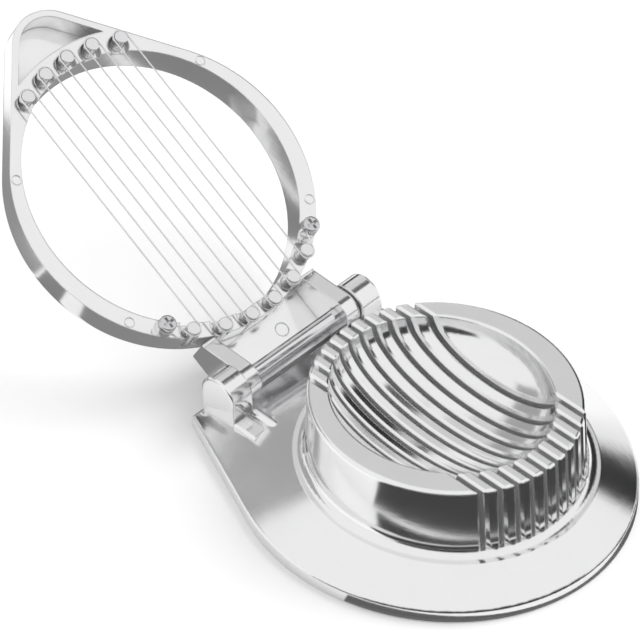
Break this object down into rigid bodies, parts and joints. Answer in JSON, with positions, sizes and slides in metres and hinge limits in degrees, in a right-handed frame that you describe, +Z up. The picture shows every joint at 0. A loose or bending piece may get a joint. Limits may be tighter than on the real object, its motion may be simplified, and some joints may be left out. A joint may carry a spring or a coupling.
{
  "type": "egg slicer",
  "caption": "Round die-cast egg slicer: slotted drum with an egg-shaped bowl on a sloping flange, and a hinged frame strung with cutting wire.",
  "frame": {"origin": "on the axis of the drum, in the plane of the table that the base rests on", "axes": "+X from the hinge to the front, +Y along the hinge pin, +Z up; stored open"},
  "size_m": [0.2289, 0.1098, 0.0779],
  "materials": {
    "polished_aluminium": "polished die casting",
    "bright_steel": "bright turned steel",
    "plated_screw": "bright zinc plating",
    "stainless_wire": "drawn stainless wire"
  },
  "bodies": {
    "base": {"base_casting": "polished_aluminium", "hinge_pin": "bright_steel"},
    "cutting_frame": {"cutting_frame": "polished_aluminium", "tip_post_1": "bright_steel", "tip_post_2": "bright_steel", "tip_post_3": "bright_steel", "tip_post_4": "bright_steel", "tip_post_5": "bright_steel", "hinge_post_1": "bright_steel", "hinge_post_2": "bright_steel", "hinge_post_3": "bright_steel", "hinge_post_4": "bright_steel", "hinge_post_5": "bright_steel", "hinge_post_6": "bright_steel", "cutting_wire": "stainless_wire", "clamp_screw_left": "plated_screw", "clamp_screw_right": "plated_screw"}
  },
  "joints": [
    {"name": "frame_hinge", "type": "hinge", "parent": "base", "child": "cutting_frame", "pos_m": [-0.0615, 0, 0.0147], "axis": [0, 1, 0], "range_deg": [0, 148.5]}
  ]
}
